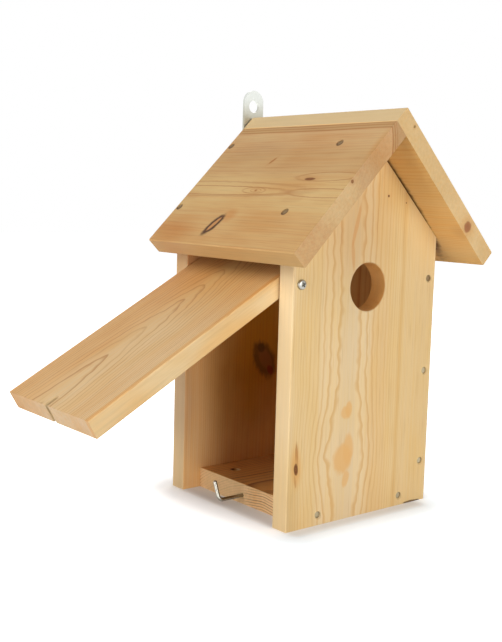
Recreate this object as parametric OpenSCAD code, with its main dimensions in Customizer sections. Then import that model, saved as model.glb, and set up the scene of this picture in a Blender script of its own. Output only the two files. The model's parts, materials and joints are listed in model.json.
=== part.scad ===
// Tit nest box of planed softwood boards, nailed together, with a side that swings up as a door.
// Millimetres. +X is to the right seen from the front, +Y to the back, +Z up.
// The origin is on the ground under the middle of the body.

/* [Body] */
// Width of the body over its two sides
body_w = 130; // [118:1:160]
// Depth of the body from the front face to the back face
body_d = 127; // [115:1:150]
// Height of the front and back boards at the eaves
eave_h = 185.5; // [180:0.5:210]
// Thickness of the front, back and right side boards
wall_t = 13.5; // [11:0.5:16]
// Thickness of the floor board
floor_t = 14; // [11:0.5:18]
// Radius of the eased long edges of every board
arris_r = 0.8; // [0.3:0.1:1.5]
// Gap under the right roof board at the peak, where both gables' slopes are sawn low
saw_gap = 2; // [0:0.1:2.4]

/* [Entrance] */
// Diameter of the entrance hole, which keeps larger birds out
hole_d = 32; // [26:1:34]
// Height of the entrance hole's centre
hole_h = 154; // [140:1:165]
// Width of the broken edge around the entrance hole
hole_arris = 0.5; // [0.2:0.1:1.2]

/* [Roof] */
// Thickness of both roof boards
roof_t = 12.5; // [10:0.5:15]
// How far the left roof board reaches down its slope past the gable's corner
left_eave = 22; // [16:0.5:30]
// How far the right roof board reaches down its slope past the gable's corner
right_eave = 24.5; // [16:0.5:30]
// How far the roof reaches past the front face
roof_front = 27.5; // [15:0.5:40]
// How far the roof stops short of the back face
roof_back = 1.5; // [0.5:0.5:4]

/* [Door] */
// Thickness of the door board
door_t = 12.5; // [10:0.5:14]
// Gap between each edge of the door and the board beside it
door_gap = 0.7; // [0.4:0.1:1.5]
// Gap between the roof and the tops of the closed door and the right side board
top_gap = 0.6; // [0.4:0.1:2]
// Gap under the closed door's bottom end
door_foot_gap = 0.5; // [0.3:0.1:2]
// Height of the two screws that the door turns on
pivot_h = 157.5; // [150:0.5:162]
// Angle that the door stands open at, from straight down
door_open = 60.5; // [30:0.5:75]
// Gap on each side of the hook's stem in the closed door's slot
slot_side_gap = 0.4; // [0.3:0.1:1]
// Gap over the hook's stem in the closed door's slot
slot_top_gap = 2.7; // [1:0.1:6]

/* [Hook] */
// Diameter of the hook's wire
hook_wire = 2.6; // [2:0.1:3.2]
// Height of the hook's stem over the ground
hook_h = 6; // [5:0.5:6.5]
// Gap between the closed door's outer face and the hook's leg
hook_gap = 3.7; // [1:0.1:6]
// Length of the leg from the middle of the stem to its round tip
hook_leg = 13.5; // [9:0.5:18]
// Radius of the hook's bend at the middle of the wire
hook_bend = 3; // [2.2:0.1:4]
// Length of the hook's stem inside the floor
hook_hold = 17; // [12:1:22]
// Lean of the leg from straight up, towards the back
hook_lean = 24; // [0:1:60]

/* [Floor] */
// Gap between the closed door and the floor's end
floor_gap = 2.5; // [1:0.5:4]
// Diameter of the drain holes
drain_d = 6; // [4:0.5:7]
// Distance of the drain holes' centres from the floor's edges
drain_inset = 18.5; // [18:0.5:24]

/* [Nails] */
// Diameter of the nails' shanks
nail_d = 2.2; // [1.8:0.1:2.8]
// Diameter of the nails' heads
nail_head_d = 4.6; // [4:0.1:6]
// Thickness of the nails' heads
nail_head_t = 1; // [0.6:0.1:1.4]
// Length of the nails that hold the walls and the floor
wall_nail_l = 36; // [28:1:42]
// Length of the nails that hold the roof
roof_nail_l = 28; // [24:1:31]
// Depth of the nails' heads under the board's face
nail_sink = 0.5; // [0.2:0.1:0.8]
// Height of the lowest nail into the right side board
side_nail_h = 29; // [24:1:36]
// Distance between the nails into the right side board
side_nail_step = 64.5; // [50:0.5:66]
// Distance of the floor's nails from the middle of the front face
floor_nail_x = 38; // [37.5:0.5:44]
// Distance of the roof boards' upper nails from the gable's peak
roof_nail_top = 18.5; // [17:0.5:30]
// Distance of the roof boards' lower nails from the gable's corner
roof_nail_low = 11; // [8:0.5:20]
// Sideways shift of the roof nails, so that those of the two slopes pass each other
roof_nail_shift = 2.5; // [2:0.1:3]
// Distance of the first ridge nail from the roof's front edge
ridge_nail_front = 43; // [30:1:55]
// Distance between the ridge nails
ridge_nail_step = 56; // [40:1:70]
// Number of ridge nails
ridge_nail_count = 2; // [1:1:2]

/* [Pivot screws] */
// Diameter of the pivot screws' shanks
pivot_d = 3.5; // [3:0.1:4.5]
// Diameter of the pivot screws' pan heads
pivot_head_d = 6.4; // [6:0.1:8]
// Height of the pivot screws' pan heads
pivot_head_t = 2.4; // [1.8:0.1:3]
// Length of the pivot screws under the head
pivot_l = 32; // [26:1:38]

/* [Hanging plate] */
// Width of the hanging plate
plate_w = 17.5; // [15:0.5:24]
// Thickness of the hanging plate
plate_t = 2; // [1:0.5:3]
// Height of the plate's top over the gable's peak
plate_rise = 37; // [34:0.5:42]
// Depth of the plate's bottom end under the gable's peak
plate_drop = 38; // [36:0.5:60]
// Distance of the plate from the middle of the back
plate_x = 1.5; // [-4:0.5:4]
// Diameter of the hanging hole
plate_hole_d = 9; // [5:0.5:10]
// Distance of the hanging hole's centre from the plate's top
plate_hole_drop = 11.5; // [9:0.5:13]
// Diameter of the plate screws' shanks
plate_screw_d = 3.5; // [3:0.1:4]
// Diameter of the plate screws' pan heads
plate_screw_head_d = 7; // [6:0.1:8]
// Height of the plate screws' pan heads
plate_screw_head_t = 2.2; // [1.6:0.1:2.8]
// Wood left over the points of the plate screws
plate_screw_spare = 1.5; // [0.5:0.5:4]
// Depth of the upper plate screw under the gable's peak
plate_screw_top = 11; // [10:0.5:12]
// Distance between the two plate screws
plate_screw_step = 18; // [17:0.5:19]

/* [Fits] */
// Clearance around each nail and fixed screw
nail_fit = 0.02; // [0.01:0.01:0.05]
// Clearance around whatever turns in wood
turn_fit = 0.05; // [0.02:0.01:0.1]

/* [Hidden] */
$fn = 48;

// Two square-cut roof boards meet at a right angle, so each slope is half of one
pitch = 45;
// How far a cut runs past the face that it opens, and how far pieces of one solid sink together
over = 1;
eps = 0.01;
peak_h = eave_h + body_w / 2 * tan(pitch);
front_y = -body_d / 2;
back_y = body_d / 2;
inner_d = body_d - 2 * wall_t;

// The roof's own frame: u runs down a slope from the top edge, and w goes into the board
roof_len = body_d + roof_front - roof_back;
roof_front_y = front_y - roof_front;
slope_l = body_w / 2 / cos(pitch);
left_top = [-roof_t * sin(pitch), peak_h + roof_t * cos(pitch)];
right_top = [0, peak_h + roof_t / cos(pitch)];
roof_left_w = slope_l + left_eave;
roof_right_w = roof_t + slope_l + right_eave;

// The door, as it hangs when closed
pivot_x = -body_w / 2 + door_t / 2;
door_w = inner_d - 2 * door_gap;
door_up = eave_h - top_gap - pivot_h;
door_down = pivot_h - door_foot_gap;
slot_w = hook_wire + 2 * slot_side_gap;
slot_l = hook_h - door_foot_gap + hook_wire / 2 + slot_top_gap;

// The floor lies between the closed door and the right side board
floor_x0 = -body_w / 2 + door_t + floor_gap;
floor_x1 = body_w / 2 - wall_t;
hook_reach = floor_gap + door_t + hook_gap + hook_wire / 2;

side_nail_x = body_w / 2 - wall_t / 2;
gable_mid = body_d / 2 - wall_t / 2;
plate_l = plate_rise + plate_drop;
plate_screw_l = plate_t + wall_t - plate_screw_spare;

// Shapes of the fasteners: a nail's neck and point, and the ends of a screw and of the hook's stem
nail_neck = 0.5;
nail_point = 3.5;
tip_d = 0.5;

// A pan head's flat middle and recess as shares of its diameter, and its rim as one of its height
pan_flat = 0.44;
pan_rim = 0.4;
recess_long = 0.52;
recess_wide = 0.15;
recess_core = 0.28;
recess_floor = 0.38;

pine = [0.87, 0.73, 0.52];
pine_dark = [0.77, 0.61, 0.42];
zinc = [0.80, 0.82, 0.82];
steel = [0.62, 0.62, 0.62];

// Outline of a board's cross-section, with its four long edges eased by a quarter round
function quarter(cx, cy, r, a0, steps = 3) =
    [for (i = [0 : steps]) [cx + r * cos(a0 + 90 * i / steps), cy + r * sin(a0 + 90 * i / steps)]];
function eased_outline(w, t, r) = concat(
    quarter(w - r, t - r, r, 0), quarter(r, t - r, r, 90),
    quarter(r, r, r, 180), quarter(w - r, r, r, 270));

// A board of width w along X and thickness t along Y, sawn square to the length l along Z
module board(w, t, l) {
    linear_extrude(height = l)
        polygon(eased_outline(w, t, arris_r));
}

// Outline of a gable board: a rectangle up to the eaves and a peak above them. The left slope is
// true, and the right one, sawn a little low, drops away from its roof board towards the peak
module gable_outline() {
    drop = saw_gap * cos(pitch);
    polygon([[-body_w / 2, 0], [body_w / 2, 0], [body_w / 2, eave_h],
        [-drop, peak_h - drop], [-body_w / 2, eave_h]]);
}

module gable_board() {
    intersection() {
        translate([-body_w / 2, -wall_t / 2, 0])
            board(body_w, wall_t, peak_h + eps);
        translate([0, wall_t / 2 + eps, 0])
            rotate([90, 0, 0])
                linear_extrude(height = wall_t + 2 * eps)
                    gable_outline();
    }
}

// A wire nail of length l, point down, with its flat head sunk under the face at z = 0
module sunk_nail(l) {
    translate([0, 0, -nail_sink])
        rotate_extrude()
            nail_profile(l, 0, 0);
}

// The hole that the nail leaves: its own shape with clearance, and a pit over the head
module nail_hole(l) {
    translate([0, 0, -nail_sink])
        rotate_extrude()
            nail_profile(l, nail_fit, nail_sink + over);
}

// Half of a nail's outline, wider by grow on every side, with its head raised to pit
module nail_profile(l, grow, pit) {
    r = nail_d / 2 + grow;
    head_r = nail_head_d / 2 + grow;
    polygon([[0, pit], [head_r, pit], [head_r, -nail_head_t - grow],
        [r, -nail_head_t - nail_neck - grow], [r, -l + nail_point], [0, -l - grow]]);
}

// A pan-head screw with a cross recess: the head sits on z = 0 and the shank goes down
module pan_screw(d, l, head_d, head_t) {
    difference() {
        union() {
            rotate_extrude()
                pan_profile(head_d / 2, head_t);
            translate([0, 0, -l + d])
                cylinder(d = d, h = l - d + eps);
            translate([0, 0, -l])
                cylinder(d1 = tip_d, d2 = d, h = d);
        }
        cross_recess(head_d, head_t);
    }
}

// Half of a pan head's outline: a straight rim, a quarter of an ellipse and a flat middle
module pan_profile(r, t, steps = 4) {
    flat = r * pan_flat;
    rim = t * pan_rim;
    polygon(concat([[0, 0], [r, 0]],
        [for (i = [0 : steps]) let (a = 90 * i / steps)
            [flat + (r - flat) * cos(a), rim + (t - rim) * sin(a)]],
        [[0, t]]));
}

// The recess that a cross-point driver fits
module cross_recess(head_d, head_t) {
    long = head_d * recess_long;
    wide = head_d * recess_wide;
    translate([0, 0, head_t * recess_floor]) {
        for (turn = [0, 90])
            rotate([0, 0, turn])
                translate([-long / 2, -wide / 2, 0])
                    cube([long, wide, head_t]);
        cylinder(d = head_d * recess_core, h = head_t);
    }
}

// The hole for a screw's shank, from its mouth at z = 0 down
module screw_hole(d, l, fit) {
    translate([0, 0, -l - fit])
        cylinder(d = d + 2 * fit, h = l + fit + over);
}

// Places children on the front or back face: their z points out of the face, at x and height h
module on_front(x, h) {
    translate([x, front_y, h]) rotate([90, 0, 0]) children();
}
module on_back(x, h) {
    translate([x, back_y, h]) rotate([-90, 0, 0]) children();
}

// Places children on the outer face of a roof board: z points out, at u down the slope and y
module on_left_slope(u, y) {
    translate([left_top[0] - u * cos(pitch), y, left_top[1] - u * sin(pitch)])
        rotate([0, -pitch, 0])
            children();
}
module on_right_slope(u, y) {
    translate([right_top[0] + u * cos(pitch), y, right_top[1] - u * sin(pitch)])
        rotate([0, pitch, 0])
            children();
}

// Where the nails are. Each module puts its children at every nail of its set
module at_side_nails_front() {
    for (i = [0 : 2])
        on_front(side_nail_x, side_nail_h + i * side_nail_step) children();
}
module at_side_nails_back() {
    for (i = [0 : 2])
        on_back(side_nail_x, side_nail_h + i * side_nail_step) children();
}
module at_floor_nails_front() {
    for (s = [-1, 1])
        on_front(s * floor_nail_x, floor_t / 2) children();
}
module at_floor_nails_back() {
    for (s = [-1, 1])
        on_back(s * floor_nail_x, floor_t / 2) children();
}
module at_left_nails(side) {
    for (u = [roof_nail_top, slope_l - roof_nail_low])
        on_left_slope(u, side * gable_mid + roof_nail_shift) children();
}
module at_right_nails(side) {
    for (u = [roof_t + roof_nail_top, roof_t + slope_l - roof_nail_low])
        on_right_slope(u, side * gable_mid - roof_nail_shift) children();
}
module at_ridge_nails() {
    for (i = [0 : ridge_nail_count - 1])
        on_right_slope(roof_t / 2, roof_front_y + ridge_nail_front + i * ridge_nail_step) children();
}
module at_plate_screws() {
    for (i = [0 : 1])
        translate([0, plate_t, 0])
            on_back(plate_x, peak_h - plate_screw_top - i * plate_screw_step) children();
}

// The front board: entrance hole, and the screw on which the door's front edge turns
module front_panel() {
    color(pine)
        difference() {
            translate([0, front_y + wall_t / 2, 0])
                gable_board();
            entrance_hole();
            on_front(pivot_x, pivot_h)
                screw_hole(pivot_d, wall_t + over, turn_fit);
            at_side_nails_front() nail_hole(wall_nail_l);
            at_floor_nails_front() nail_hole(wall_nail_l);
            at_left_nails(-1) nail_hole(roof_nail_l);
            at_right_nails(-1) nail_hole(roof_nail_l);
        }
}

// A round hole through the front board with a broken edge at both faces
module entrance_hole() {
    translate([0, front_y, hole_h])
        rotate([-90, 0, 0]) {
            translate([0, 0, -over])
                cylinder(d = hole_d, h = wall_t + 2 * over, $fn = 96);
            translate([0, 0, -eps])
                cylinder(d1 = hole_d + 2 * hole_arris, d2 = hole_d, h = hole_arris, $fn = 96);
            translate([0, 0, wall_t - hole_arris + eps])
                cylinder(d1 = hole_d, d2 = hole_d + 2 * hole_arris, h = hole_arris, $fn = 96);
        }
}

module back_panel() {
    color(pine)
        difference() {
            translate([0, back_y - wall_t / 2, 0])
                gable_board();
            on_back(pivot_x, pivot_h)
                screw_hole(pivot_d, wall_t + over, turn_fit);
            at_side_nails_back() nail_hole(wall_nail_l);
            at_floor_nails_back() nail_hole(wall_nail_l);
            at_left_nails(1) nail_hole(roof_nail_l);
            at_right_nails(1) nail_hole(roof_nail_l);
            at_plate_screws() screw_hole(plate_screw_d, plate_screw_l, nail_fit);
        }
}

// The fixed side stands between the gable boards and stops under the right roof board
module right_side_panel() {
    color(pine)
        difference() {
            translate([body_w / 2, -inner_d / 2, 0])
                rotate([0, 0, 90])
                    board(inner_d, wall_t, eave_h - top_gap);
            at_side_nails_front() nail_hole(wall_nail_l);
            at_side_nails_back() nail_hole(wall_nail_l);
        }
}

// Turns children about the pivot from where they hang when the door is closed
module at_door() {
    translate([pivot_x, 0, pivot_h])
        rotate([0, door_open, 0])
            children();
}

// The opening side, drawn about its pivot, with the slot that passes over the hook's stem
module door_panel() {
    color(pine)
        at_door()
            difference() {
                translate([door_t / 2, -door_w / 2, -door_down])
                    rotate([0, 0, 90])
                        board(door_w, door_t, door_down + door_up);
                stem_slot();
                for (side = [-1, 1])
                    translate([0, side * body_d / 2, 0])
                        rotate([-side * 90, 0, 0])
                            screw_hole(pivot_d, pivot_l, nail_fit);
            }
}

// A narrow slot through the door's thickness, open at its bottom end and round at the top
module stem_slot() {
    top_z = -door_down + slot_l - slot_w / 2;
    translate([-door_t, -slot_w / 2, -door_down - over])
        cube([2 * door_t, slot_w, slot_l - slot_w / 2 + over]);
    translate([-door_t, 0, top_z])
        rotate([0, 90, 0])
            cylinder(d = slot_w, h = 2 * door_t);
}

module floor_board() {
    color(pine_dark)
        difference() {
            translate([floor_x0, -inner_d / 2, floor_t])
                rotate([0, 90, 0])
                    board(floor_t, inner_d, floor_x1 - floor_x0);
            drain_holes();
            at_floor_nails_front() nail_hole(wall_nail_l);
            at_floor_nails_back() nail_hole(wall_nail_l);
            hook_hole();
        }
}

// Four holes near the floor's corners let water out
module drain_holes() {
    for (x = [floor_x0 + drain_inset, floor_x1 - drain_inset])
        for (s = [-1, 1])
            translate([x, s * (inner_d / 2 - drain_inset), -over])
                cylinder(d = drain_d, h = floor_t + 2 * over);
}

// The left board's top edge meets the underside of the right board
module roof_board_left() {
    color(pine_dark)
        difference() {
            translate([left_top[0], roof_front_y + roof_len, left_top[1]])
                rotate([0, -pitch, 0])
                    translate([-roof_left_w, 0, -roof_t])
                        rotate([90, 0, 0])
                            board(roof_left_w, roof_t, roof_len);
            at_left_nails(-1) nail_hole(roof_nail_l);
            at_left_nails(1) nail_hole(roof_nail_l);
            at_ridge_nails() nail_hole(roof_nail_l);
        }
}

// The right board laps over the left board's top edge
module roof_board_right() {
    color(pine)
        difference() {
            translate([right_top[0], roof_front_y + roof_len, right_top[1]])
                rotate([0, pitch, 0])
                    translate([0, 0, -roof_t])
                        rotate([90, 0, 0])
                            board(roof_right_w, roof_t, roof_len);
            at_right_nails(-1) nail_hole(roof_nail_l);
            at_right_nails(1) nail_hole(roof_nail_l);
            at_ridge_nails() nail_hole(roof_nail_l);
        }
}

// A flat zinc-plated strip with two round ends, drawn lying down from the gable's peak at z = 0
module hanging_plate() {
    r = plate_w / 2;
    color(zinc)
        translate([plate_x, back_y + plate_t, peak_h])
            rotate([90, 0, 0])
                difference() {
                    union() {
                        translate([-r, r - plate_drop, 0])
                            cube([plate_w, plate_l - plate_w, plate_t]);
                        for (end = [plate_rise - r, r - plate_drop])
                            translate([0, end, 0])
                                cylinder(r = r, h = plate_t, $fn = 64);
                    }
                    translate([0, plate_rise - plate_hole_drop, -over])
                        cylinder(d = plate_hole_d, h = plate_t + 2 * over);
                    for (i = [0 : 1])
                        translate([0, -plate_screw_top - i * plate_screw_step, -over])
                            cylinder(d = plate_screw_d + 2 * nail_fit, h = plate_t + 2 * over);
                }
}

module hanging_plate_screws() {
    color(steel)
        at_plate_screws()
            pan_screw(plate_screw_d, plate_screw_l, plate_screw_head_d, plate_screw_head_t);
}

// Each pivot screw turns in its gable board and is fast in the door's edge
module pivot_screw(side) {
    color(steel)
        at_door()
            translate([0, side * (body_d / 2 + turn_fit), 0])
                rotate([-side * 90, 0, 0])
                    pan_screw(pivot_d, pivot_l, pivot_head_d, pivot_head_t);
}
module pivot_screw_front() { pivot_screw(-1); }
module pivot_screw_back() { pivot_screw(1); }

module front_side_nails() {
    color(steel) at_side_nails_front() sunk_nail(wall_nail_l);
}
module back_side_nails() {
    color(steel) at_side_nails_back() sunk_nail(wall_nail_l);
}
module front_floor_nails() {
    color(steel) at_floor_nails_front() sunk_nail(wall_nail_l);
}
module back_floor_nails() {
    color(steel) at_floor_nails_back() sunk_nail(wall_nail_l);
}
module roof_left_nails_front() {
    color(steel) at_left_nails(-1) sunk_nail(roof_nail_l);
}
module roof_left_nails_back() {
    color(steel) at_left_nails(1) sunk_nail(roof_nail_l);
}
module roof_right_nails_front() {
    color(steel) at_right_nails(-1) sunk_nail(roof_nail_l);
}
module roof_right_nails_back() {
    color(steel) at_right_nails(1) sunk_nail(roof_nail_l);
}
module ridge_nails() {
    color(steel) at_ridge_nails() sunk_nail(roof_nail_l);
}

// A square-bend screw hook, drawn along +X with its leg up, then turned to stand out of the floor
module latch_hook() {
    r = hook_wire / 2;
    color(zinc)
        translate([floor_x0, 0, hook_h])
            rotate([-hook_lean, 0, 0])
                rotate([0, 0, 180]) {
                    translate([-hook_hold + hook_wire, 0, 0])
                        rotate([0, 90, 0])
                            cylinder(r = r, h = hook_hold - hook_wire + hook_reach - hook_bend);
                    translate([-hook_hold, 0, 0])
                        rotate([0, 90, 0])
                            cylinder(r1 = tip_d / 2, r2 = r, h = hook_wire);
                    translate([hook_reach - hook_bend, 0, hook_bend])
                        rotate([90, 0, 0])
                            rotate_extrude(angle = -90)
                                translate([hook_bend, 0])
                                    circle(r = r);
                    translate([hook_reach, 0, hook_bend])
                        cylinder(r = r, h = hook_leg - hook_bend - r);
                    translate([hook_reach, 0, hook_leg - r])
                        sphere(r = r);
                }
}

// The hole in the floor's end in which the hook's stem turns
module hook_hole() {
    translate([floor_x0 + hook_hold + turn_fit, 0, hook_h])
        rotate([0, -90, 0])
            cylinder(d = hook_wire + 2 * turn_fit, h = hook_hold + turn_fit + over);
}

front_panel();
back_panel();
right_side_panel();
door_panel();
floor_board();
roof_board_left();
roof_board_right();
hanging_plate();
hanging_plate_screws();
pivot_screw_front();
pivot_screw_back();
front_side_nails();
back_side_nails();
front_floor_nails();
back_floor_nails();
roof_left_nails_front();
roof_left_nails_back();
roof_right_nails_front();
roof_right_nails_back();
ridge_nails();
latch_hook();
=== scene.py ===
# %% [markdown]
# A tit nest box of bare planed pine, shown with its side door swung open. The boards, the screws,
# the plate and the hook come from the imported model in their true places, so this lesson is about
# what they look like: how to give sawn boards real growth rings, how to repeat a nail, and how to
# light it all.

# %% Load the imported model
import json
from collections import namedtuple
from math import cos, degrees, radians, sin

import bpy
from mathutils import Matrix, Vector


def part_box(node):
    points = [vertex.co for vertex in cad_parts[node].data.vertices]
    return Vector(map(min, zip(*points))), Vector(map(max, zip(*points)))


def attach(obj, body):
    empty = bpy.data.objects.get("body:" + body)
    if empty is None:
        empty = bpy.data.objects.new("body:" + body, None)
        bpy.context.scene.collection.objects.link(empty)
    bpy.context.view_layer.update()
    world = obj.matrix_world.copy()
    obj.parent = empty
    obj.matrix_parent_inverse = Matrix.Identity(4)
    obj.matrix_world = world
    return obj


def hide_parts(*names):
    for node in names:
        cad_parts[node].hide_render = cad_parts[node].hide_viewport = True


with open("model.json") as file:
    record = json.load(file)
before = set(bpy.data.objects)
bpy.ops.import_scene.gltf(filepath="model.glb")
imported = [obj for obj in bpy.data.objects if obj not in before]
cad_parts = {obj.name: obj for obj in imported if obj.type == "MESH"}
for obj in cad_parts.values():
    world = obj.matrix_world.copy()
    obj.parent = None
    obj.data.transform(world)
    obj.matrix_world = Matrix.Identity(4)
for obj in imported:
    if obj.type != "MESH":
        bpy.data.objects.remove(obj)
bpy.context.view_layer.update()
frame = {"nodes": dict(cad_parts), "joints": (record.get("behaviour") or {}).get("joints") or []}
nodes = frame["nodes"]
scene = bpy.context.scene
mm = 0.001
X, Y, Z = Vector((1, 0, 0)), Vector((0, 1, 0)), Vector((0, 0, 1))

# %% [markdown]
# The camera stands where the photographer's stood. It was found from the corners of the boards: it
# looks from the front left, with a slight roll. The lens is a little long, which keeps the lines calm.

# %% Camera
photo_size = (502, 642)
focal_px = 997  # the lens's focal length, in pixels of the photo
centre_px = (19.4, 0.1)  # how far the lens's axis lies off the photo's middle, right and down
eye = Vector((-0.4651, -0.5224, 0.2107))
target = Vector((-0.0296, 0, 0.1258))
roll = radians(1.72)


def aim(position, at, roll=0):
    """The matrix of a camera or lamp at a position, looking at a point."""
    back = (position - at).normalized()
    right = Z.cross(back).normalized()
    up = back.cross(right)
    side = right * cos(roll) + up * sin(roll)
    return Matrix.Translation(position) @ Matrix((side, back.cross(side), back)).transposed().to_4x4()


lens = bpy.data.cameras.new("camera")
lens.sensor_width = 36
lens.lens = focal_px / max(photo_size) * lens.sensor_width
lens.shift_x = -centre_px[0] / max(photo_size)
lens.shift_y = centre_px[1] / max(photo_size)
lens.clip_start = 0.01
camera = bpy.data.objects.new("camera", lens)
camera.matrix_world = aim(eye, target, roll)
scene.collection.objects.link(camera)
scene.camera = camera
print("lens:", round(lens.lens, 1), "mm, from", [round(v, 3) for v in eye])

# %% [markdown]
# A material is a tree of nodes, and sums written as nodes are hard to read. This small class wraps
# one socket, so that Python's own operators add Math nodes, and one method adds any other node. The
# finishes below are then plain formulas, as a maker would note them down.


# %% A socket that does sums
# A Mix node has its sockets once for each kind of value, under the same names, so the ones for
# colours go by number
FACTOR, FIRST, SECOND, MIXED = 0, 6, 7, 2


class Wire:
    """A socket of a node tree. Operators add Math nodes, and node() adds any other node."""

    def __init__(self, tree, socket=None):
        self.tree, self.socket = tree, socket

    def node(self, kind, settings=None, inputs=None, output=0):
        """Adds a node: its settings come first, then the values or links of its sockets."""
        made = self.tree.nodes.new(kind)
        for name, value in (settings or {}).items():
            setattr(made, name, value)
        for name, value in (inputs or {}).items():
            if isinstance(value, Wire):
                self.tree.links.new(value.socket, made.inputs[name])
            else:
                made.inputs[name].default_value = value
        return Wire(self.tree, made.outputs[output] if made.outputs else None)

    def math(self, operation, *values):
        """Adds a Math node that works on the values."""
        return self.node("ShaderNodeMath", {"operation": operation}, dict(enumerate(values)))

    def __add__(self, other):
        return self.math("ADD", self, other)

    def __sub__(self, other):
        return self.math("SUBTRACT", self, other)

    def __rsub__(self, other):
        return self.math("SUBTRACT", other, self)

    def __mul__(self, other):
        return self.math("MULTIPLY", self, other)

    def __truediv__(self, other):
        return self.math("DIVIDE", self, other)

    def __pow__(self, power):
        return self.math("POWER", self, power)

    __radd__ = __add__
    __rmul__ = __mul__

    def along(self, direction):
        """How far this point lies along a direction."""
        return self.node("ShaderNodeVectorMath", {"operation": "DOT_PRODUCT"},
                         {0: self, 1: direction}, "Value")

    def ramp(self, low, high, to_low=0, to_high=1):
        """A smooth step from to_low to to_high while the value goes from low to high."""
        limits = dict(enumerate((self, low, high, to_low, to_high)))
        return self.node("ShaderNodeMapRange", {"interpolation_type": "SMOOTHSTEP"}, limits)

    def colour(self, low, high):
        """The colour between two others that this value picks."""
        return self.node("ShaderNodeMix", {"data_type": "RGBA"},
                         {FACTOR: self, FIRST: low, SECOND: high}, MIXED)

    def times(self, shade):
        """This colour multiplied by another, or by a grey value."""
        return self.node("ShaderNodeMix", {"data_type": "RGBA", "blend_type": "MULTIPLY"},
                         {FACTOR: 1.0, FIRST: self, SECOND: shade}, MIXED)


def paint(red, green, blue):
    """A colour as a picture editor gives it, from 0 to 255, made linear for the shader by the sRGB
    rule. Where it multiplies another colour, a value above 255 brightens that."""
    return tuple((v / 255 / 12.92 if v < 11 else ((v / 255 + 0.055) / 1.055) ** 2.4)
                 for v in (red, green, blue)) + (1,)


def blank_material(name):
    """A new material without nodes, and a wire to start its tree from."""
    material = bpy.data.materials.new(name)
    material.use_nodes = True
    material.node_tree.nodes.clear()
    return material, Wire(material.node_tree)


print("a picture's mid grey is", round(paint(128, 128, 128)[0], 3), "to the shader")

# %% [markdown]
# A board is sawn from a log, and its figure is the log's growth rings cut open. So the wood here is
# solid: each point of a board is turned into its place across, along and below the outer face, and
# its distance from the log's heart says which ring it lies in. Faces, edges and ends then agree with
# each other, as no picture pasted on them would.


# %% Where a board lies in the log
class Board:
    """A board's own directions: across and along its outer face, and out of it, from a start point."""

    def __init__(self, across, along, out, start):
        self.across, self.along, self.out, self.start = across, along, out, start

    def place(self, point):
        """A point's distances in mm across, along and below the outer face."""
        def measured(direction, sign=1):
            return (point.along(direction) - direction.dot(self.start)) * (sign / mm)
        return measured(self.across), measured(self.along), measured(self.out, -1)


def noise(at, seed, detail=2.0, roughness=0.5):
    """Smooth noise from -1 to 1 at a point given as three distances, each over its own grain size."""
    vector = at[0].node("ShaderNodeCombineXYZ", {}, {0: at[0] + seed, 1: at[1], 2: at[2]})
    wave = vector.node("ShaderNodeTexNoise", {"noise_dimensions": "3D"},
                       {"Vector": vector, "Scale": 1.0, "Detail": detail, "Roughness": roughness})
    return wave * 2 - 1


# A mark on a board: where its middle is across and along, half its width and half its length, its
# turn in degrees, its colour and strength, and if it doesn't go right through the board, a pair of
# its depth below the face and its reach around that
Mark = namedtuple("Mark", "across along wide long turn shade strength deep", defaults=(0, None, 1, None))


def distance(place, mark):
    """Distance from the middle of a mark, where its edge is 1."""
    u, v = place[0] - mark.across, place[1] - mark.along
    c, s = cos(radians(mark.turn)), sin(radians(mark.turn))
    total = ((u * c + v * s) / mark.wide) ** 2.0 + ((v * c - u * s) / mark.long) ** 2.0
    if mark.deep:
        total = total + ((place[2] - mark.deep[0]) / mark.deep[1]) ** 2.0
    return total ** 0.5


print("a mark is told by its", ", ".join(Mark._fields))

# %% [markdown]
# Softwood shows each year as a pale early band that darkens into a thin late line and then stops
# sharply. Near the heart the rings are wide, farther out they crowd. Branches and pockets of resin
# make the rings bend round them. The finish adds fine fibres along the grain, a slow drift of tone,
# and a speckled skin on the sawn ends, where the rings are cut across.


# %% The growth rings
late_end = (0.92, 1.0)  # the part of a year in which its late line stops
weakest = 0.35  # strength of the faintest year's line, where the strongest is 1
first_year = 20  # keeps the count of years above nought near the heart
tip_round = 4  # mm2, rounds the points of arches
calm = 400  # mm2, the ripple fades where the square of the way across passes this
broad_width, broad_depth, ripple_depth = 20, 30, 9  # mm, grains of the two noises that bend rings


def growth(place, seed, heart, rings, crowding, wander, lean, peak, swells, late_share, far):
    """How dark the late line of the ring at a place is, from 0 to 1, and the log's radius there."""
    across, along, deep = place
    sway_by, sway_length, ripple_by, ripple_length = wander
    per_mm, crowd_by, shift = rings
    bent = across
    for swell in swells:
        pull = distance(place, swell) ** 2.0 * -1
        bent = bent - (across - swell.across) * across.math("EXPONENT", pull) * swell.strength
    sway = noise((along / sway_length, 0, 0), seed, detail=1.0)
    broad = noise((bent / broad_width, along / sway_length, deep / broad_depth), seed + 3, detail=1.0)
    ripple = noise((bent / ripple_length, along / ripple_length, deep / ripple_depth), seed + 7,
                   detail=1.0)
    aside = bent - heart[0] + sway * sway_by
    below = deep - heart[1] - along * lean
    flat = aside * aside
    radius = (flat + (flat + tip_round) ** 0.5 * peak + below * below) ** 0.5 + broad * (sway_by / 2)
    radius = radius + ripple * ripple_by / (flat / calm + 1)
    beyond = radius - abs(heart[1])
    count = beyond * per_mm + beyond ** crowding * (crowd_by / crowding) + (shift + first_year)
    part = across.math("FRACT", count)
    year = across.math("FLOOR", count)
    strength = across.node("ShaderNodeTexWhiteNoise", {"noise_dimensions": "1D"}, {"W": year + seed})
    line = part.ramp(*late_share) * part.ramp(*late_end, 1, 0)
    line = line * (strength * (1 - weakest) + weakest) * radius.ramp(*far)
    return line, radius


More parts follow.
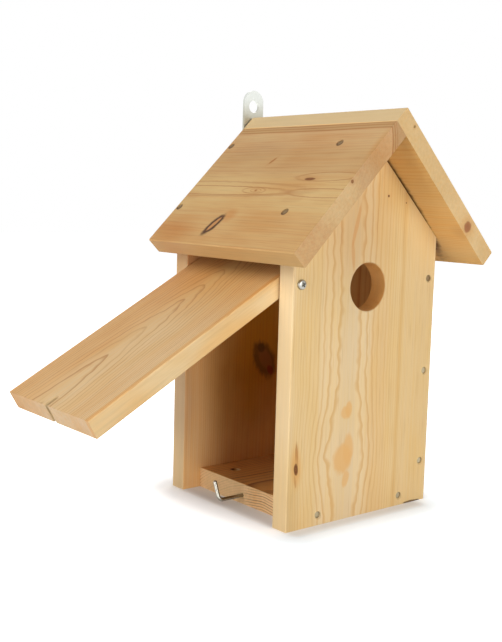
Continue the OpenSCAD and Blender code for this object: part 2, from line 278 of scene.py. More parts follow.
# %% Bare pine
turned_to = (0.6, 0.9)  # how squarely a surface faces a way before it is an edge or an end
endless = 1000  # mm, wider than any board
thread_brown = (0.55, 0.3, 0.12, 1)  # what the finest dark threads leave of each colour
crushed_and_pit_shade = paint(92, 66, 46)  # the same for the wood round a sunk nail, darkened by crushed fibres and by painted shade in its pit
pit_shade_offset = 0.6  # mm from the nail's middle to that of the darkened ring, across and along, which sets the painted shade to one side
crushed_and_shade_reach = 2.5  # mm
bump_depth = 0.3 * mm


def pine(name, board, early, late, heart, rings, seed, drift, crowding=2.0, wander=(2.0, 55, 0.5, 12),
         contrast=1.0, edge_lines=0.2, end_lines=0.4, end_shade=0.95, lean=0.0, peak=0.0,
         late_share=(0.5, 0.88), far=(0, 1, 1, 1), streaks=0.05, threads=0.08,
         end_tint=(1, 1, 1, 1), edge_tint=(1, 1, 1, 1), inner_light_and_shade=None, swells=(), zones=(), bands=(),
         tone_patches_and_painted_light=(), stains_and_painted_shade=(), eyes=(), knots=(), bores=(), nails=(), bruise_and_pit_shade=0.85):
    """A planed pine board, with all places in mm on the outer face.

    The figure: heart is the log's heart across and below the face, rings the number of rings per mm
    there, how it grows and a shift, and crowding the power of that growth. wander is how far the
    rings sway and over what length, then the same for their ripple. lean tips the heart along the
    board, peak draws the arches into points, late_share is where in a year its late wood starts and
    is darkest, and far is the radii between which the lines change, and their strength on each side.
    Swells push the rings apart.

    The tones: early and late are the two woods of a year, and drift is what the slow changes of tone
    multiply them by. contrast is the strength of the lines, edge_lines and end_lines its share on edges
    and sawn ends, and edge_tint and end_tint colour the edges and the ends. The tint of the face opposite
    the outer one is painted light and shade, for how light reaches it inside the box or under the roof.
    Some soft patches and some stains are painted light and shade too. All marks from zones on are laid
    over each other in that order."""
    material, start = blank_material(name)
    point = start.node("ShaderNodeTexCoord", output="Object")
    facing = start.node("ShaderNodeTexCoord", output="Normal")
    place = across, along, deep = board.place(point)
    on_end = start.math("ABSOLUTE", facing.along(board.along)).ramp(*turned_to)
    on_edge = start.math("ABSOLUTE", facing.along(board.across)).ramp(*turned_to)

    # The rings, plainer where the saw ran along them or cut them across
    line, radius = growth(place, seed, heart, rings, crowding, wander, lean, peak, swells, late_share, far)
    line = line * (1 - on_edge * (1 - edge_lines)) * (1 - on_end * (1 - end_lines)) * contrast
    colour = line.colour(early, late)
    colour = on_edge.colour(colour, colour.times(edge_tint))

    def grain(width, length, shift, detail=2.0, roughness=0.5):
        """Noise in grains of a width and a length in mm, drawn out along the board."""
        return noise((across / width, along / length, deep / width), seed + shift, detail, roughness)

    # Fine fibres and streaks along the grain, a slow drift of tone, and the finest dark threads,
    # which hardly show where the saw cut them across
    fibre = grain(width=0.6, length=26, shift=11, detail=3.0, roughness=0.6)
    streak = grain(width=2.2, length=90, shift=13)
    tone = grain(width=26, length=60, shift=17)
    amount = (tone * 0.6 + streak * 0.5 + 0.4).ramp(0, 1) * (1 - on_edge * 0.7)
    colour = amount.colour(colour, colour.times(drift))
    plain = (1 - on_end * 0.7) * (1 - on_edge * 0.6)
    thread = grain(width=1.1, length=34, shift=15).ramp(0.08, 0.5)
    colour = colour.times(1 + fibre * streaks + streak * streaks * 1.2 + tone * 0.03)
    colour = (thread * plain * threads).colour(colour, colour.times(thread_brown))
    # Painted light and shade on the face opposite the outer one, for how light reaches it inside the box
    # or under the roof
    if inner_light_and_shade:
        within = facing.along(board.out).ramp(-0.9, -0.6, 1, 0)
        colour = within.colour(colour, colour.times(inner_light_and_shade))

    # Zones are years with a tone of their own, such as heartwood, bands are stretches across, and the soft
    # patches are partly tone and partly painted light and shade, lighter or darker where light falls or
    # doesn't. A zone or band has its start and end, how soft they are, and its shade
    stretches = [(radius, zone) for zone in zones] + [(across + tone * 2, band) for band in bands]
    for measure, (low, high, soft, shade) in stretches:
        inside = measure.ramp(low - soft, low + soft) * measure.ramp(high - soft, high + soft, 1, 0)
        colour = inside.colour(colour, colour.times(shade))
    for glow in tone_patches_and_painted_light:
        soft = (distance(place, glow) + tone * 0.25).ramp(0.2, 1.2, glow.strength, 0)
        colour = soft.colour(colour, colour.times(glow.shade))

    # Stains first, some of them painted shade, then long rings round a hidden knot, then knots, each with
    # a halo and a ringed core. Noise makes all their outlines ragged
    ragged = grain(width=3, length=7, shift=19, detail=3.0)
    for spot in stains_and_painted_shade:
        inside = (distance(place, spot) + ragged * 0.25).ramp(0.7, 1.15, spot.strength, 0)
        colour = inside.colour(colour, spot.shade)
    for eye in eyes:
        gap = distance(place, eye) + ragged * 0.08
        ends = distance(place, eye._replace(wide=endless)).ramp(0.5, 1.1, 1, 0.35)
        ring = gap.ramp(0.82, 0.98) * gap.ramp(1.0, 1.12, 1, 0) * ends
        colour = (ring * (1 - on_end) * eye.strength).colour(colour, eye.shade)
    for knot in knots:
        gap = distance(place, knot) + ragged * 0.22
        halo = gap.ramp(0.9, 2.6, 0.5 * knot.strength, 0)
        core = gap.ramp(0.75, 1.1, knot.strength, 0)
        own_rings = start.math("SINE", gap * 11) * 0.06 + 0.06
        colour = halo.colour(colour, late)
        colour = core.colour(colour, own_rings.colour(knot.shade, late))

    # A bored hole's wall is tinted a deeper, redder brown, and round a sunk nail's head the wood is
    # darker, from crushed fibres and from painted shade of its pit, set off to one side
    for bore in bores:
        wall = (1 - start.math("ABSOLUTE", facing.along(board.out))).ramp(0.3, 0.7)
        inside = distance(place, bore).ramp(0.98, 1.04, bore.strength, 0) * wall
        colour = inside.colour(colour, colour.times(bore.shade))
    for nail in nails:
        head = nail - board.start
        rim = Mark(head.dot(board.across) / mm + pit_shade_offset, head.dot(board.along) / mm - pit_shade_offset,
                   crushed_and_shade_reach, crushed_and_shade_reach)
        inside = (distance(place, rim) + ragged * 0.15).ramp(0.9, 1.25, bruise_and_pit_shade, 0)
        colour = inside.colour(colour, colour.times(crushed_and_pit_shade))

    # Sawn ends have a shade of their own and are speckled
    speck = grain(width=0.8, length=0.8, shift=23, roughness=0.7)
    blotch = grain(width=2.6, length=2.6, shift=29)
    sawn = colour.times(end_tint).times(end_shade + speck * 0.045 + blotch * 0.1)
    colour = on_end.colour(colour, sawn)

    # Late wood stands up a little and is smoother, and fibres and the saw roughen the rest
    height = line * 0.2 + fibre * 0.35 + on_end * speck * 0.4
    bump = start.node("ShaderNodeBump", {}, {"Strength": 0.35, "Distance": bump_depth, "Height": height})
    roughness = 0.62 - line * 0.1 + fibre * 0.05 + on_end * 0.15
    shader = start.node("ShaderNodeBsdfPrincipled", {}, {
        "Base Color": colour, "Roughness": roughness, "Specular IOR Level": 0.3, "Normal": bump})
    start.node("ShaderNodeOutputMaterial", {}, {"Surface": shader})
    return material


def dress(node, material):
    """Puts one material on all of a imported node."""
    mesh = nodes[node].data
    mesh.materials.clear()
    mesh.materials.append(material)


print("finish ready: bare pine")

# %% [markdown]
# Before the boards are dressed, each needs its own directions. They follow from how it stands in the box:
# the gables' grain runs up, the floor's from side to side, the roof's along the ridge, and the door's
# turns with the door, whose angle the joint's range tells. The wood round each nail is darker, from
# crushed fibres and from painted shade of the pit its head sits in, so the heads' places are read from the
# imported nails too.

# %% The boards' directions
LOW, HIGH = 0, 1
roof_thick = 12.5 * mm
door_thick = 12.5 * mm
slope = radians(45)
front_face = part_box("front_panel")[LOW].y
back_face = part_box("back_panel")[HIGH].y
side_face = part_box("right_side_panel")[HIGH].x
floor_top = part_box("floor_board")[HIGH].z
left_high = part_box("roof_board_left")[HIGH]
right_low, right_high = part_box("roof_board_right")
door_joint = next(j for j in frame["joints"] if j["name"] == "door_swing")
swung = -radians(door_joint["range_deg"][0])
hinge = Vector(door_joint["pos_m"])

down_left = Vector((-cos(slope), 0, -sin(slope)))
down_right = Vector((cos(slope), 0, -sin(slope)))
up_left = Vector((-sin(slope), 0, cos(slope)))
up_right = Vector((sin(slope), 0, cos(slope)))
door_down = Vector((-sin(swung), 0, -cos(swung)))
door_out = Vector((-cos(swung), 0, sin(swung)))

# A roof board starts at the upper corner of its outer face. The left one's is found from the board's
# inner corner at the ridge, the right one's from its eave, as at 45 degrees the outer face runs as
# far across as it falls
slanted = roof_thick * sin(slope)
fall = right_high.z - right_low.z - slanted
left_ridge = Vector((left_high.x - slanted, 0, left_high.z))
right_ridge = Vector((right_high.x - fall, 0, right_high.z))
front_board = Board(X, Z, -Y, Vector((0, front_face, 0)))
back_board = Board(X, Z, Y, Vector((0, back_face, 0)))
side_board = Board(Y, Z, X, Vector((side_face, 0, 0)))
floor_plank = Board(Y, X, Z, Vector((0, 0, floor_top)))
left_roof = Board(down_left, Y, up_left, left_ridge)
right_roof = Board(down_right, Y, up_right, right_ridge)
door_board = Board(Y, door_down, door_out, hinge + door_out * (door_thick / 2))
print("door open by", round(degrees(swung), 1), "degrees")
print("ridge:", [round(v / mm, 1) for v in right_roof.start], "mm")

# %% Where the nails were driven
def nail_heads(node, out):
    """The middle of each nail's head and the nails' length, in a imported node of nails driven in
    against the direction out."""
    points = [vertex.co for vertex in nodes[node].data.vertices]
    heights = [p.dot(out) for p in points]
    top = max(heights) - 0.1 * mm
    same_head = 8 * mm  # less than the way from one nail to the next
    rims = []
    for p, height in zip(points, heights):
        if height > top:
            home = next((rim for rim in rims if (rim[0] - p).length < same_head), None)
            if home is None:
                rims.append([p])
            else:
                home.append(p)
    middles = [Vector([(min(c) + max(c)) / 2 for c in zip(*rim)]) for rim in rims]
    return middles, max(heights) - min(heights)


wall_sets = {"front_side_nails": -Y, "front_floor_nails": -Y, "back_side_nails": Y, "back_floor_nails": Y}
roof_sets = {"roof_left_nails_front": up_left, "roof_left_nails_back": up_left,
             "roof_right_nails_front": up_right, "roof_right_nails_back": up_right,
             "ridge_nails": up_right}
nails_in = {}
for node, out in {**wall_sets, **roof_sets}.items():
    nails_in[node], length = nail_heads(node, out)
    print(node, len(nails_in[node]), "nails of", round(length / mm, 1), "mm")

# %% [markdown]
# The seven boards come from different trees, so each gets its own tone, its own place in the log and
# its own marks. The front is flat-sawn: a pale tongue up the middle between wavy bands, which swell
# round two resin patches low down, with the rings crowding towards both edges.

# %% The front and the back
knot_brown = paint(104, 58, 28)
resin = paint(222, 172, 106)
resin_streak = paint(208, 154, 94)
line_brown = paint(160, 104, 54)
front_pine = pine(
    "bare_pine_front", front_board, paint(228, 202, 158), paint(212, 166, 104), heart=(-15.5, 10),
    rings=(0.17, 0.00026, 0.23), crowding=3.0, seed=12.7, wander=(1.6, 60, 3.0, 12), contrast=1.35,
    edge_lines=0.06, late_share=(0.55, 0.86), far=(20, 28, 1, 0.45), threads=0.2,
    drift=paint(250, 243, 222),
    bands=[(22, 64, 3, paint(253, 248, 234)), (31, 34, 2, paint(249, 238, 220)),
           (-64, -40, 3, paint(252, 247, 232)), (-22, -8, 3, paint(250, 250, 252)),
           (4, 22, 4, paint(252, 243, 228))],
    swells=[Mark(-16.5, 43, 24, 27, strength=0.73), Mark(-15.5, 74, 13, 9, strength=0.3),
            Mark(-15, 195, 13, 20, strength=0.3)],
    stains_and_painted_shade=[Mark(-13.4, 74, 3, 6, 0, resin, 0.8), Mark(-16.4, 72, 4, 4.6, 0, resin, 0.7),
            Mark(-17.6, 41, 8.8, 10.5, 0, resin, 0.8), Mark(-12.6, 47, 5, 11, 0, resin, 0.75),
            Mark(-14, 27, 3, 6, -14, resin, 0.7), Mark(-12.7, 194, 1.7, 16, -14, resin_streak, 0.75),
            Mark(-14.8, 175, 1.6, 10, 6, resin_streak, 0.7),
            Mark(-57.6, 47, 1.3, 11, 3, paint(176, 122, 62), 0.8),
            Mark(-58.4, 33, 0.9, 5, 8, paint(186, 134, 74), 0.7),
            Mark(50, 0.5, 7, 0.9, 0, paint(92, 66, 42), 0.9),
            Mark(57, 0.2, 3, 0.7, 0, paint(72, 50, 34), 0.9)],
    tone_patches_and_painted_light=[Mark(-58, 41, 5, 15, 4, paint(250, 222, 180), 0.9),
           Mark(-18, 196, 36, 50, 0, paint(245, 234, 220), 1),
           Mark(28, 222, 28, 26, 0, paint(242, 235, 220), 1),
           Mark(-65, 12, 12, 50, 0, paint(242, 238, 230), 1)],
    knots=[Mark(-58, 40.2, 1.8, 4, 6, paint(104, 52, 0), 1), Mark(15.5, 213.4, 0.9, 0.9, 0, knot_brown, 1),
           Mark(32.6, 209.2, 0.6, 0.6, 0, knot_brown, 0.8)],
    bores=[Mark(0, 154, 17.5, 17.5, 0, paint(267, 234, 188), 1)],
    nails=nails_in["front_side_nails"] + nails_in["front_floor_nails"], bruise_and_pit_shade=0.2)
back_pine = pine(
    "bare_pine_back", back_board, paint(222, 188, 138), paint(204, 152, 96), heart=(78, 46),
    rings=(0.22, 0.004, 0), seed=8.4, wander=(2.0, 90, 0.5, 20), contrast=0.36, edge_lines=0.26,
    # Painted light and shade: the face inside the box is painted lighter, the first patch darkens it
    # towards the right where the box is in shade, and the other three paint the left edge darker at the
    # top and middle, in the open door's shadow, and lighter low down
    late_share=(0.3, 0.8), drift=paint(246, 234, 214), inner_light_and_shade=paint(287, 277, 264),
    tone_patches_and_painted_light=[Mark(2, 110, 60, 118, 0, paint(194, 158, 56), 1, (13.5, 6)),
           Mark(-62, 160, 30, 60, 0, paint(243, 232, 228), 1),
           Mark(-62, 10, 30, 70, 0, paint(262, 268, 276), 1),
           Mark(-65, 66, 13, 50, 0, paint(230, 228, 236), 1)],
    stains_and_painted_shade=[Mark(7.4, 89, 10, 16.5, 32, paint(112, 66, 12), 0.9),
            Mark(8.4, 89, 5.4, 10.5, 32, paint(146, 86, 38), 0.8),
            Mark(13.4, 80, 2.8, 4.4, 32, paint(132, 46, 12), 0.85),
            Mark(4, 98, 3.4, 4, 32, paint(98, 56, 10), 0.8)],
    nails=nails_in["back_side_nails"] + nails_in["back_floor_nails"], bruise_and_pit_shade=0.3)
print("front and back ready")

# %% The side, the door and the floor
side_pine = pine(
    "bare_pine_side", side_board, paint(226, 192, 142), paint(206, 156, 98), heart=(6, 22),
    rings=(0.3, 0.014, 0), seed=5.7, wander=(1.6, 60, 0.5, 16), drift=paint(246, 234, 214),
    # Painted shade: the face inside the box is painted darker and warmer, as it lies in shade
    inner_light_and_shade=paint(255, 232, 196))
door_pine = pine(
    "bare_pine_door", door_board, paint(218, 188, 143), paint(172, 120, 60), heart=(7, 34),
    rings=(0.34, 0.011, 0), seed=6.2, wander=(2.6, 60, 1.6, 12), contrast=0.86, edge_lines=0.07,
    end_lines=0.12, end_shade=1.0, end_tint=(0.96, 0.98, 1.12, 1), edge_tint=(1.05, 1.12, 1.16, 1),
    late_share=(0.66, 0.92), lean=-0.16, peak=10.0, threads=0.26, streaks=0.09,
    drift=paint(242, 226, 200),
    tone_patches_and_painted_light=[Mark(0, 0, 90, 70, 0, paint(244, 222, 186), 1, (-2, 7))],
    bands=[(-49.6, -46, 1, paint(254, 234, 204)), (-46, -26, 4, paint(255, 250, 246)),
           (14, 60, 8, paint(250, 236, 220))])
floor_pine = pine(
    "bare_pine_floor", floor_plank, paint(217, 163, 99), paint(112, 62, 24), heart=(-24, 105),
    rings=(0.55, 0.0, 0), seed=1.9, wander=(2.4, 70, 0.6, 14), end_lines=1.3, contrast=0.74,
    end_tint=(1.24, 1.58, 2.44, 1), drift=paint(242, 228, 208),
    # The second stain is painted shade inside the near edge of the drain hole
    stains_and_painted_shade=[Mark(22, -50, 30, 2, 0, paint(220, 166, 100), 0.75),
            Mark(32.2, -32.8, 3, 3, 0, paint(74, 38, 12), 0.9)])
print("side, door and floor ready")

# %% The roof
roof_pine_left = pine(
    "bare_pine_roof_left", left_roof, paint(207, 173, 121), paint(182, 134, 82), heart=(70, -45),
    rings=(0.42, 0.006, 0), seed=2.6, wander=(1.2, 70, 0.8, 24), contrast=0.34, edge_lines=0.6,
    end_lines=0.5, end_shade=1.02, end_tint=(1.03, 1.05, 1.2, 1), late_share=(0.6, 0.9), streaks=0.09,
    threads=0.2, drift=paint(234, 212, 190),
    zones=[(78.6, 120, 0.5, paint(236, 231, 220)), (78.2, 79.0, 0.3, paint(226, 200, 178)),
           (80.6, 81.3, 0.3, paint(236, 214, 196)), (82.5, 83, 0.3, paint(238, 216, 200))],
    bands=[(-9, 24, 7, paint(248, 244, 246)), (24, 50, 8, paint(240, 235, 230)),
           (50, 84, 6, paint(253, 255, 250)), (84, 140, 9, paint(246, 239, 228))],
    tone_patches_and_painted_light=[Mark(104, 44, 14, 30, 0, paint(241, 216, 190), 0.9),
           Mark(24, 20, 12, 40, 0, paint(243, 238, 236), 0.9),
           Mark(86, -4, 7, 8, 0, paint(244, 214, 184), 0.7),
           Mark(92, -40, 12, 30, 0, paint(246, 232, 214), 0.8),
           Mark(22, -91, 18, 5, 0, paint(249, 235, 214), 1)],
    eyes=[Mark(63.5, 36, 4.3, 82, 0, line_brown, 0.75), Mark(62, 46, 7.2, 110, 0, line_brown, 0.45),
          Mark(63, -8, 2.8, 12, 0, line_brown, 0.7), Mark(63, -10, 1.6, 5.5, 0, line_brown, 0.8),
          Mark(49.6, -68, 4, 28, -2, line_brown, 0.7), Mark(64, -76, 4, 34, 0, line_brown, 0.65)],
    stains_and_painted_shade=[Mark(95.4, 4.75, 10.8, 4.8, 21, paint(68, 36, 8), 1),
            Mark(94.8, 4.5, 6.8, 1.8, 21, paint(184, 130, 76), 1)],
    knots=[Mark(51.8, -53.7, 1.4, 5, 0, paint(112, 62, 22), 1),
           Mark(63, -10.1, 0.9, 1.2, 0, line_brown, 0.9),
           Mark(34.6, -2.4, 3.6, 1.1, 30, line_brown, 1),
           Mark(52.2, -91, 1.2, 2, 0, paint(112, 56, 16), 0.8, (1.4, 1.3))],
    nails=nails_in["roof_left_nails_front"] + nails_in["roof_left_nails_back"])
roof_pine_right = pine(
    "bare_pine_roof_right", right_roof, paint(220, 188, 138), paint(206, 152, 88), heart=(-12, 46),
    rings=(0.3, 0.004, 0), seed=4.4, wander=(1.6, 70, 0.6, 18), contrast=0.45, edge_lines=0.16,
    end_lines=0.24, end_shade=1.0, end_tint=(0.95, 0.94, 0.91, 1), edge_tint=(0.91, 0.95, 1.0, 1),
    # Painted light and shade: the underside is painted warmer and lighter, as light bounced between the
    # boards; the dark strip is painted shade on the underside over the front gable, where the saw gap
    # lies; the glow paints the board lighter towards the eave at its front end
    drift=paint(248, 234, 210), inner_light_and_shade=paint(262, 251, 222),
    stains_and_painted_shade=[Mark(68, -57, 56, 8, 0, paint(92, 50, 18), 0.9, (12.5, 2))],
    tone_patches_and_painted_light=[Mark(95, -78, 30, 30, 0, paint(266, 267, 270), 1)],
    knots=[Mark(96.7, -89, 4.2, 5, 0, paint(156, 96, 62), 0.9, (7, 4.6)),
           Mark(12.7, -91, 0.9, 1.2, 0, paint(140, 112, 66), 0.9, (3, 1.1))],
    nails=nails_in["roof_right_nails_front"] + nails_in["roof_right_nails_back"] + nails_in["ridge_nails"])

for node, material in {
        "front_panel": front_pine, "back_panel": back_pine, "right_side_panel": side_pine,
        "door_panel": door_pine, "floor_board": floor_pine, "roof_board_left": roof_pine_left,
        "roof_board_right": roof_pine_right}.items():
    dress(node, material)
print("boards dressed: 7")

# %% [markdown]
# The hanging plate is stamped from zinc-plated strip, dull and a little cloudy, with a painted highlight
# along its top. The hook and the screws are brighter. The nails are dullest and yellowish, and the upper
# ones darker and browner.


# %% Metals
grit_per_patch = 9  # how much finer the grit is than the cloudy patches
grit_depth = 0.1 * mm


def metal(name, colour, roughness, cloud, size, seed, upper=None):
    """Steel: a colour, its roughness, and how far cloudy patches of a size in mm darken it. upper is
    the heights in mm between which it turns to another colour, and that colour."""
    material, start = blank_material(name)
    point = start.node("ShaderNodeTexCoord", output="Object")
    x, y, z = (point.along(axis) / (size * mm) for axis in (X, Y, Z))
    finer = (x * grit_per_patch, y * grit_per_patch, z * grit_per_patch)
    patch = noise((x, y, z), seed, detail=3.0, roughness=0.6)
    grit = noise(finer, seed + 5, roughness=0.6)
    low, high, other = upper or (0, 1, colour)
    tint = point.along(Z).ramp(low * mm, high * mm).colour(paint(*colour), paint(*other))
    tint = tint.times(1 - (patch * 0.5 + 0.5) * cloud)
    bump = start.node("ShaderNodeBump", {}, {"Strength": 0.2, "Distance": grit_depth, "Height": grit})
    shader = start.node("ShaderNodeBsdfPrincipled", {}, {
        "Base Color": tint, "Metallic": 1.0, "Roughness": roughness + patch * 0.08 + grit * 0.03,
        "Normal": bump})
    start.node("ShaderNodeOutputMaterial", {}, {"Surface": shader})
    return material


# Painted highlight: the plate's top is lighter, where it catches the light
zinc_plate = metal("plated_strip", (186, 182, 165), roughness=0.42, cloud=0.2, size=2.6, seed=1.2,
                   upper=(266, 283, (222, 225, 219)))
zinc_hook = metal("bright_plated_wire", (160, 157, 146), roughness=0.22, cloud=0.05, size=3, seed=2.3)
screw_steel = metal("plated_screw", (168, 166, 158), roughness=0.26, cloud=0.1, size=2, seed=3.4)
nail_steel = metal("dull_nail_wire", (183, 169, 138), roughness=0.6, cloud=0.3, size=1.5, seed=4.5,
                   upper=(130, 150, (148, 124, 90)))
dress("hanging_plate", zinc_plate)
dress("latch_hook", zinc_hook)
for node in ("pivot_screw_front", "pivot_screw_back", "hanging_plate_screws"):
    dress(node, screw_steel)
print("metals dressed: 5 pieces")

# %% [markdown]
# The nails are all one shape, so one is made by rule and repeated. Geometry Nodes turn a line into a
# nail: the line's points take their heights and widths from a list, a circle is swept along it, and
# the nail is set on every point of a small cloud, turned to that point's own direction. The places
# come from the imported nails, which these finer ones replace.


# %% One nail by rule
def nail_tree():
    """A tree that sets a nail on each point. Sizes are its named inputs."""
    tree = bpy.data.node_groups.new("wire_nails", "GeometryNodeTree")
    tree.interface.new_socket("Places", in_out="INPUT", socket_type="NodeSocketGeometry")
    for name, value in (("Length", 36 * mm), ("Head Diameter", 4.1 * mm), ("Head Thickness", 1 * mm),
                        ("Shank Diameter", 2.2 * mm), ("Point Length", 3.5 * mm)):
        socket = tree.interface.new_socket(name, in_out="INPUT", socket_type="NodeSocketFloat")
        socket.default_value = value
    tree.interface.new_socket("Steel", in_out="INPUT", socket_type="NodeSocketMaterial")
    tree.interface.new_socket("Nails", in_out="OUTPUT", socket_type="NodeSocketGeometry")
    given = tree.nodes.new("NodeGroupInput")
    places, length, head, thick, shank, tip, steel = (Wire(tree, given.outputs[i]) for i in range(7))

    # Depth and radius from the top down: a flat head, its rim, the neck, the shank and the point
    profile = [(0, head * 0.02), (0.01 * mm, head * 0.25), (0.02 * mm, head * 0.4),
               (0.06 * mm, head * 0.48), (0.15 * mm, head * 0.5), (thick - 0.15 * mm, head * 0.5),
               (thick, head * 0.46), (thick + 0.1 * mm, shank * 0.62), (thick + 0.5 * mm, shank * 0.5),
               (length - tip, shank * 0.5), (length - tip * 0.4, shank * 0.28), (length, shank * 0.03)]
    # Each point of this line is moved to its own depth below, so where the line ends is no matter
    line = places.node("GeometryNodeCurvePrimitiveLine", {"mode": "POINTS"},
                       {"Start": (0, 0, 0), "End": (0, 0, -10 * mm)})
    line = line.node("GeometryNodeResampleCurve", {"mode": "COUNT"},
                     {"Curve": line, "Count": len(profile)})
    index = line.node("GeometryNodeInputIndex")

    def listed(column):
        """The value of one column of the list at the point's index."""
        chosen = tree.nodes.new("GeometryNodeIndexSwitch")
        chosen.data_type = "FLOAT"
        while len(chosen.index_switch_items) < len(profile):
            chosen.index_switch_items.new()
        tree.links.new(index.socket, chosen.inputs["Index"])
        for i, row in enumerate(profile):
            value = row[column]
            if isinstance(value, Wire):
                tree.links.new(value.socket, chosen.inputs[i + 1])
            else:
                chosen.inputs[i + 1].default_value = value
        return Wire(tree, chosen.outputs[0])

    down = index.node("ShaderNodeCombineXYZ", {}, {2: listed(0) * -1})
    line = line.node("GeometryNodeSetPosition", {}, {"Geometry": line, "Position": down})
    ring = line.node("GeometryNodeCurvePrimitiveCircle", {"mode": "RADIUS"},
                     {"Resolution": 20, "Radius": 1.0})
    nail = line.node("GeometryNodeCurveToMesh", {}, {
        "Curve": line, "Profile Curve": ring, "Scale": listed(1), "Fill Caps": True})

    # One on each point, turned to its direction, and made real, as an export drops instances
    out = nail.node("GeometryNodeInputNamedAttribute", {"data_type": "FLOAT_VECTOR"}, {"Name": "out"})
    turned = out.node("FunctionNodeAlignRotationToVector", {"axis": "Z"}, {"Vector": out})
    many = nail.node("GeometryNodeInstanceOnPoints", {},
                     {"Points": places, "Instance": nail, "Rotation": turned})
    many = many.node("GeometryNodeRealizeInstances", {}, {"Geometry": many})
    many = many.node("GeometryNodeSetMaterial", {}, {"Geometry": many, "Material": steel})
    result = tree.nodes.new("NodeGroupOutput")
    tree.links.new(many.socket, result.inputs[0])
    return tree


wire_nails = nail_tree()
print("nail tree:", len(wire_nails.nodes), "nodes")


# %% Drive the nails
smooth_below = 0.5 * mm * mm  # a nail's small faces, round its head, are smooth, its long ones flat


def drive(name, sets):
    """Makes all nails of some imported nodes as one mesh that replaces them."""
    cloud = bpy.data.meshes.new(name + "_places")
    middles, outs, lengths = [], [], []
    for node, out in sets.items():
        found, length = nail_heads(node, out)
        middles += found
        outs += [out] * len(found)
        lengths.append(length)
    cloud.from_pydata(middles, [], [])
    directions = cloud.attributes.new("out", "FLOAT_VECTOR", "POINT")
    for slot, out in zip(directions.data, outs):
        slot.vector = out
    holder = bpy.data.objects.new(name + "_places", cloud)
    scene.collection.objects.link(holder)
    modifier = holder.modifiers.new("nails", "NODES")
    modifier.node_group = wire_nails
    sockets = {item.name: item.identifier for item in wire_nails.interface.items_tree
               if item.item_type == "SOCKET" and item.in_out == "INPUT"}
    modifier[sockets["Length"]] = max(lengths)
    modifier[sockets["Steel"]] = nail_steel
    ready = holder.evaluated_get(bpy.context.evaluated_depsgraph_get())
    mesh = bpy.data.meshes.new_from_object(ready)
    mesh.name = name
    mesh.materials.clear()
    mesh.materials.append(nail_steel)
    piece = bpy.data.objects.new(name, mesh)
    scene.collection.objects.link(piece)
    holder.modifiers.remove(modifier)
    bpy.data.objects.remove(holder)
    for polygon in mesh.polygons:
        polygon.material_index = 0
        polygon.use_smooth = polygon.area < smooth_below
    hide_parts(*sets)
    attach(piece, "box")
    return piece


for name, sets in (("wall_nails", wall_sets), ("roof_nails", roof_sets)):
    piece = drive(name, sets)
    print(name, len(piece.data.polygons), "faces of", [m.name for m in piece.data.materials])

# %% [markdown]
# The set is a studio's: a white floor that runs into a white surround, and large soft lamps. The camera,
# and mirrors on the object, see pure white. The wood is lit almost by the lamps alone, so its colours come
# out as they are written. The floor adds white to its own shading, least near the box, so the box's soft
# shadow on it is partly cast by the lamps and partly painted.


# %% Floor
foot = ((X, -0.0055, 0.0545), (Y, -0.006, 0.062))  # middle and half width, in m, of the area at the box's foot that the floor's painted shadow grows from
cool_white = (0.72, 0.89, 1, 1)
floor_width = 8  # m


def looked_at(start):
    """1 where the camera or a mirror looks, and 0 for the light that reaches the wood."""
    camera_ray, glossy, through = (start.node("ShaderNodeLightPath", output=f"Is {kind} Ray")
                                   for kind in ("Camera", "Glossy", "Transmission"))
    return start.math("MAXIMUM", start.math("MAXIMUM", camera_ray, glossy), through)


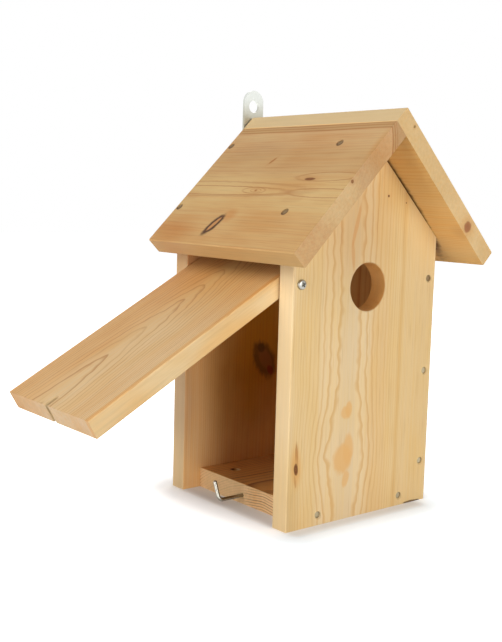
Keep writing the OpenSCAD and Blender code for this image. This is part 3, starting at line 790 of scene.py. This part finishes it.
def floor_material(name):
    """A white floor with a painted shadow. Where the camera or a mirror sees it, it glows least at the
    foot of the box, which paints a soft shadow there over the lamps' own shadow, a little cooler before
    the warm front board, and grows to pure white beyond. Its own colour is darker close to the box, a
    painted contact shade."""
    material, start = blank_material(name)
    point = start.node("ShaderNodeTexCoord", output="Object")
    outside = [start.math("MAXIMUM", start.math("ABSOLUTE", point.along(axis) - middle) - half, 0)
               for axis, middle, half in foot]
    away = (outside[0] ** 2.0 + outside[1] ** 2.0) ** 0.5

    # The glow grows from 0.08 to 0.4 in the first 12 mm, and by 0.35 and 0.25 in two wider steps, so less
    # of it near the box paints a soft shadow there
    glow = away.ramp(0, 0.012, 0.08, 0.4)
    glow = glow + away.ramp(0.012, 0.036, 0, 0.35) + away.ramp(0.036, 0.08, 0, 0.25)
    # The painted shadow is cool before the front board only, and less so farther off
    cool = point.along(Y).ramp(-0.075, -0.055, 1, 0) * away.ramp(0.03, 0.15, 1, 0)
    glow = cool.colour((1, 1, 1, 1), cool_white).times(glow * looked_at(start))
    # Painted shade as well: the floor's own colour is darker within 30 mm of the box
    white = away.ramp(0, 0.03).colour(paint(218, 214, 210), paint(244, 245, 246))
    shader = start.node("ShaderNodeBsdfPrincipled", {}, {
        "Base Color": white, "Roughness": 0.9, "Specular IOR Level": 0.1,
        "Emission Color": glow, "Emission Strength": 1.0})
    start.node("ShaderNodeOutputMaterial", {}, {"Surface": shader})
    return material


bpy.ops.mesh.primitive_plane_add(size=floor_width)
floor = bpy.context.object
floor.name = "studio_floor"
floor.data.materials.append(floor_material("studio_floor"))

# %% World and lamps
world = bpy.data.worlds.new("studio")
world.use_nodes = True
scene.world = world
sky = Wire(world.node_tree)
world.node_tree.nodes.clear()
room_light = 0.02  # strength of the surround's light on the wood
glow = sky.node("ShaderNodeBackground", {}, {
    "Color": (1, 1, 1, 1), "Strength": looked_at(sky).ramp(0, 1, room_light, 1.0)})
sky.node("ShaderNodeOutputWorld", {}, {"Surface": glow})


def softbox(name, position, at, size, power):
    """A large soft lamp, with its width in m and its power in W."""
    lamp = bpy.data.lights.new(name, "AREA")
    lamp.shape = "SQUARE"
    lamp.size = size
    lamp.energy = power
    holder = bpy.data.objects.new(name, lamp)
    holder.matrix_world = aim(Vector(position), Vector(at))
    scene.collection.objects.link(holder)


box_middle = (0, 0, 0.13)
softbox("lamp_left_low", (-1.52, 0, 0.45), box_middle, size=0.8, power=9)
softbox("lamp_left", (-1.21, -0.32, 1.04), box_middle, size=0.8, power=11.7)
softbox("lamp_front", (-0.11, -1.51, 0.45), box_middle, size=1.0, power=15)
softbox("lamp_back", (0.98, 0.98, 0.83), box_middle, size=0.9, power=8)
scene.view_settings.view_transform = "Standard"
print("lamps:", [o.name for o in scene.objects if o.type == "LIGHT"])
